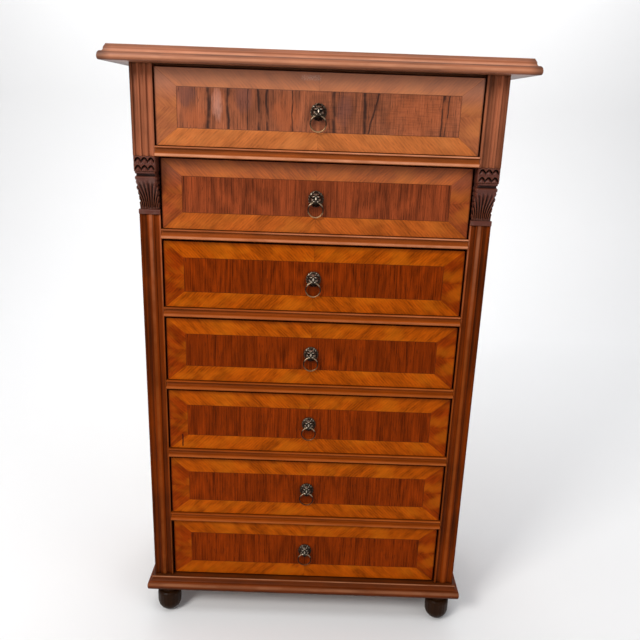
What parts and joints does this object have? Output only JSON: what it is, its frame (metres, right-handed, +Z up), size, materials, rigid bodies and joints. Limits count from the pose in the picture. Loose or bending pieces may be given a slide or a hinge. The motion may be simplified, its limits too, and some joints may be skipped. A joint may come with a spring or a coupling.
{
  "type": "tall chest of drawers",
  "caption": "Walnut-veneered tall chest of drawers with a moulded top, fluted pilasters, carved corbels, moulded rails, turned feet and lion-mask ring pulls; drawers slide, rings swing.",
  "frame": {"origin": "on the floor under the middle of the chest's box", "axes": "+Z up, the drawers open towards -Y, +X to the right as seen from the front"},
  "size_m": [0.789, 0.4206, 1.2565],
  "materials": {
    "walnut_veneer": "figured walnut veneer, satin polish",
    "walnut_solid": "solid walnut, satin polish",
    "walnut_carved": "dark carved walnut, worn polish",
    "pale_wood": "bare softwood",
    "blackened_wood": "ebonised, satin polish",
    "aged_brass": "antique dark brass, worn highlights"
  },
  "bodies": {
    "carcass": {"top_board": "walnut_solid", "top_rail": "walnut_solid", "side_left": "walnut_veneer", "side_right": "walnut_veneer", "back_panel": "pale_wood", "bottom_board": "pale_wood", "base_front": "walnut_solid", "base_left": "walnut_solid", "base_right": "walnut_solid", "shaft_left": "walnut_solid", "shaft_right": "walnut_solid", "corbel_left": "walnut_carved", "corbel_right": "walnut_carved", "frieze_block_left": "walnut_solid", "frieze_block_right": "walnut_solid", "foot_front_left": "blackened_wood", "foot_front_right": "blackened_wood", "foot_rear_left": "blackened_wood", "foot_rear_right": "blackened_wood", "rail_1": "walnut_solid", "rail_2": "walnut_solid", "rail_3": "walnut_solid", "rail_4": "walnut_solid", "rail_5": "walnut_solid", "rail_6": "walnut_solid"},
    "drawer_1": {"drawer_1_front": "walnut_veneer", "drawer_1_box": "pale_wood", "drawer_1_bottom": "pale_wood", "drawer_1_mask": "aged_brass"},
    "ring_1": {"drawer_1_ring": "aged_brass"},
    "drawer_2": {"drawer_2_front": "walnut_veneer", "drawer_2_box": "pale_wood", "drawer_2_bottom": "pale_wood", "drawer_2_mask": "aged_brass"},
    "ring_2": {"drawer_2_ring": "aged_brass"},
    "drawer_3": {"drawer_3_front": "walnut_veneer", "drawer_3_box": "pale_wood", "drawer_3_bottom": "pale_wood", "drawer_3_mask": "aged_brass"},
    "ring_3": {"drawer_3_ring": "aged_brass"},
    "drawer_4": {"drawer_4_front": "walnut_veneer", "drawer_4_box": "pale_wood", "drawer_4_bottom": "pale_wood", "drawer_4_mask": "aged_brass"},
    "ring_4": {"drawer_4_ring": "aged_brass"},
    "drawer_5": {"drawer_5_front": "walnut_veneer", "drawer_5_box": "pale_wood", "drawer_5_bottom": "pale_wood", "drawer_5_mask": "aged_brass"},
    "ring_5": {"drawer_5_ring": "aged_brass"},
    "drawer_6": {"drawer_6_front": "walnut_veneer", "drawer_6_box": "pale_wood", "drawer_6_bottom": "pale_wood", "drawer_6_mask": "aged_brass"},
    "ring_6": {"drawer_6_ring": "aged_brass"},
    "drawer_7": {"drawer_7_front": "walnut_veneer", "drawer_7_box": "pale_wood", "drawer_7_bottom": "pale_wood", "drawer_7_mask": "aged_brass"},
    "ring_7": {"drawer_7_ring": "aged_brass"}
  },
  "joints": [
    {"name": "drawer_1_slide", "type": "slide", "parent": "carcass", "child": "drawer_1", "axis": [0, -1, 0], "range_m": [0, 0.28]},
    {"name": "ring_1_hinge", "type": "hinge", "parent": "drawer_1", "child": "ring_1", "pos_m": [0, -0.17235, 1.1465], "axis": [-1, 0, 0], "range_deg": [-5, 85]},
    {"name": "drawer_2_slide", "type": "slide", "parent": "carcass", "child": "drawer_2", "axis": [0, -1, 0], "range_m": [0, 0.28]},
    {"name": "ring_2_hinge", "type": "hinge", "parent": "drawer_2", "child": "ring_2", "pos_m": [0, -0.14435, 0.9824], "axis": [-1, 0, 0], "range_deg": [-5, 85]},
    {"name": "drawer_3_slide", "type": "slide", "parent": "carcass", "child": "drawer_3", "axis": [0, -1, 0], "range_m": [0, 0.28]},
    {"name": "ring_3_hinge", "type": "hinge", "parent": "drawer_3", "child": "ring_3", "pos_m": [0, -0.14435, 0.8197], "axis": [-1, 0, 0], "range_deg": [-5, 85]},
    {"name": "drawer_4_slide", "type": "slide", "parent": "carcass", "child": "drawer_4", "axis": [0, -1, 0], "range_m": [0, 0.28]},
    {"name": "ring_4_hinge", "type": "hinge", "parent": "drawer_4", "child": "ring_4", "pos_m": [0, -0.14435, 0.657], "axis": [-1, 0, 0], "range_deg": [-5, 85]},
    {"name": "drawer_5_slide", "type": "slide", "parent": "carcass", "child": "drawer_5", "axis": [0, -1, 0], "range_m": [0, 0.28]},
    {"name": "ring_5_hinge", "type": "hinge", "parent": "drawer_5", "child": "ring_5", "pos_m": [0, -0.14435, 0.4943], "axis": [-1, 0, 0], "range_deg": [-5, 85]},
    {"name": "drawer_6_slide", "type": "slide", "parent": "carcass", "child": "drawer_6", "axis": [0, -1, 0], "range_m": [0, 0.28]},
    {"name": "ring_6_hinge", "type": "hinge", "parent": "drawer_6", "child": "ring_6", "pos_m": [0, -0.14435, 0.3316], "axis": [-1, 0, 0], "range_deg": [-5, 85]},
    {"name": "drawer_7_slide", "type": "slide", "parent": "carcass", "child": "drawer_7", "axis": [0, -1, 0], "range_m": [0, 0.28]},
    {"name": "ring_7_hinge", "type": "hinge", "parent": "drawer_7", "child": "ring_7", "pos_m": [0, -0.13735, 0.1664], "axis": [-1, 0, 0], "range_deg": [-5, 85]}
  ]
}
